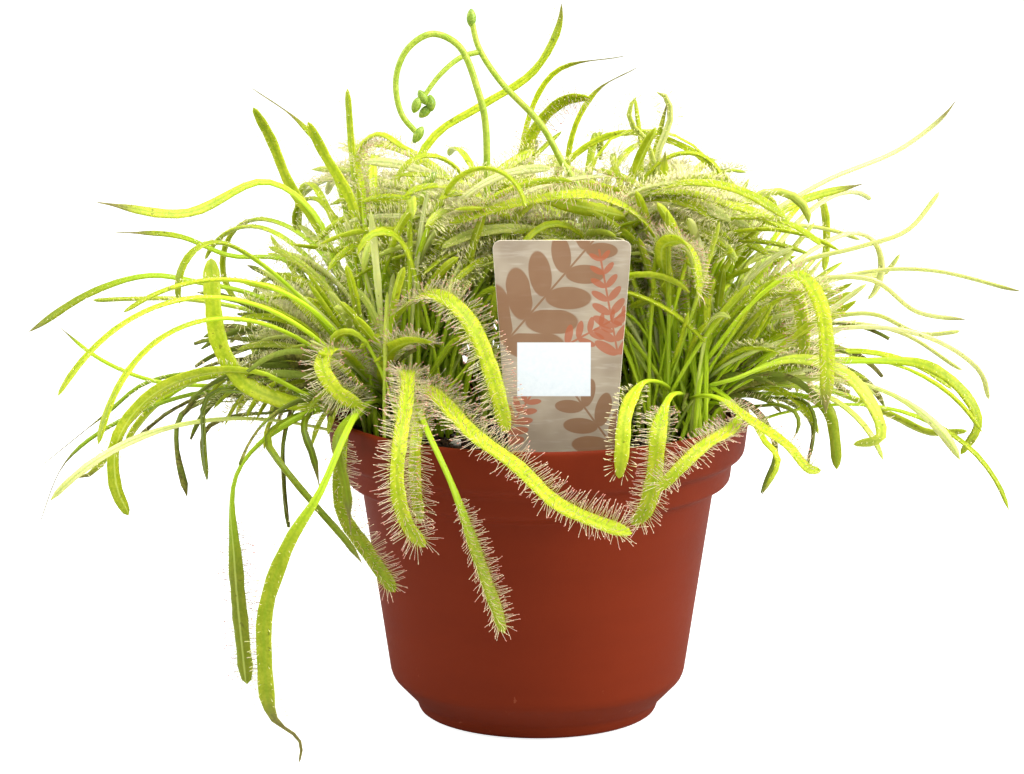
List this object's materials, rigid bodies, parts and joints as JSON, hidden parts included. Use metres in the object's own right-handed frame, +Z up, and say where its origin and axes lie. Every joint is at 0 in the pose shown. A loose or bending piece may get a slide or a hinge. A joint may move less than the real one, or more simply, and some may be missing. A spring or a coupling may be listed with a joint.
{
  "type": "potted cape sundew",
  "caption": "Potted cape sundew: sticky strap leaves in three rosettes fan over the rim of a small round plastic pot of peat, with flower stalks and a plain stick-in label",
  "frame": {"origin": "centre of the underside of the pot's foot, on the surface it stands on", "axes": "+Z up; -Y is the side that the label faces; +X to the right as seen from that side"},
  "size_m": [0.2105, 0.1629, 0.1507],
  "materials": {
    "pot_plastic": "moulded polypropylene, terracotta colour, satin",
    "peat_soil": "damp peat with perlite, rough",
    "label_card": "printed card, matt",
    "leaf": "fresh leaf, lime green, soft sheen, with sticky hairs",
    "withered_leaf": "withered leaf, brown, dry",
    "flower_stalk": "fresh stalk, green, soft sheen"
  },
  "bodies": {
    "root": {"pot": "pot_plastic", "soil": "peat_soil", "plant_label": "label_card", "rosette_left": "leaf", "stem_left": "withered_leaf", "rosette_right": "leaf", "stem_right": "withered_leaf", "rosette_back": "leaf", "stem_back": "withered_leaf", "flower_stalk_1": "flower_stalk", "flower_stalk_2": "flower_stalk", "flower_stalk_3": "flower_stalk"}
  },
  "joints": []
}
